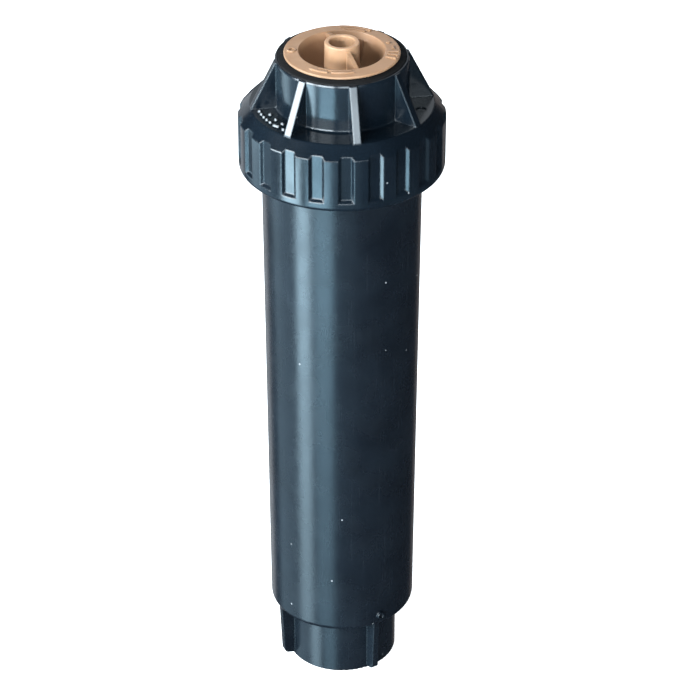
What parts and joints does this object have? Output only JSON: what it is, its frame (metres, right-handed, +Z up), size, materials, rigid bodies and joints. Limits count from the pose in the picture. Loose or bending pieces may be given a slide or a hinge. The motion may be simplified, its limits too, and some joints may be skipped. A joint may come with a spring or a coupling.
{
  "type": "pop-up sprinkler",
  "caption": "Pop-up lawn sprinkler with a tapered case, ribbed screw cap, spring-retracted riser and an adjustable spray nozzle, for burying in turf.",
  "frame": {"origin": "centre of the inlet's bottom face", "axes": "+Z up along the riser, the way it pops up; -Y is the side with the two rows of raised marks at its left"},
  "size_m": [0.0454, 0.0454, 0.16],
  "materials": {
    "case_plastic": "satin moulded",
    "cap_plastic": "semi-gloss moulded",
    "rubber_black": "matte",
    "inner_plastic": "matte moulded",
    "riser_plastic": "smooth",
    "washer_plastic": "natural acetal",
    "spring_steel": "drawn wire",
    "mesh_nylon": "woven",
    "nozzle_black": "matte moulded",
    "collar_plastic": "knurled",
    "nozzle_tan": "satin moulded",
    "screw_steel": "turned"
  },
  "bodies": {
    "housing": {"body_case": "case_plastic"},
    "seal_pack": {"seal_retainer": "inner_plastic", "wiper_seal": "rubber_black", "cap_gasket": "rubber_black", "spring_washer": "washer_plastic", "retract_spring": "spring_steel"},
    "cap": {"threaded_cap": "cap_plastic"},
    "ratchet": {"ratchet_ring": "inner_plastic"},
    "riser": {"riser_stem": "riser_plastic", "filter_frame": "inner_plastic", "filter_mesh": "mesh_nylon", "nozzle_washer": "rubber_black", "nozzle_base": "nozzle_black", "nozzle_deflector": "nozzle_tan", "screw_o_ring": "rubber_black", "collar_o_ring": "rubber_black"},
    "arc_ring": {"arc_collar": "collar_plastic"},
    "screw": {"radius_screw": "screw_steel", "screw_clip": "screw_steel"},
    "throttle": {"throttle_plug": "washer_plastic"}
  },
  "joints": [
    {"name": "cap_lift", "type": "slide", "parent": "housing", "child": "seal_pack", "axis": [0, 0, 1], "range_m": [0, 0.00801]},
    {"name": "cap_turn", "type": "hinge", "parent": "seal_pack", "child": "cap", "pos_m": [0, 0, 0.137], "axis": [0, 0, 1], "range_deg": [0, 720]},
    {"name": "riser_slide", "type": "slide", "parent": "seal_pack", "child": "ratchet", "axis": [0, 0, 1], "range_m": [0, 0.1], "stiffness_N_per_m": 230, "springref_m": -0.0957, "deforming": ["retract_spring"]},
    {"name": "riser_turn", "type": "hinge", "parent": "ratchet", "child": "riser", "pos_m": [0, 0, 0.022], "axis": [0, 0, 1], "continuous": true},
    {"name": "arc_turn", "type": "hinge", "parent": "riser", "child": "arc_ring", "pos_m": [0, 0, 0.147], "axis": [0, 0, 1], "range_deg": [0, 330]},
    {"name": "screw_turn", "type": "hinge", "parent": "riser", "child": "screw", "pos_m": [0, 0, 0.15], "axis": [0, 0, 1], "range_deg": [-1801, 0]},
    {"name": "throttle_slide", "type": "slide", "parent": "riser", "child": "throttle", "axis": [0, 0, 1], "range_m": [0, 0.003]}
  ],
  "couplings": [
    {"joint": "cap_lift", "follows": "cap_turn", "m_per_rad": 0.00063662},
    {"joint": "screw_turn", "follows": "throttle_slide", "rad_per_m": -10472}
  ]
}
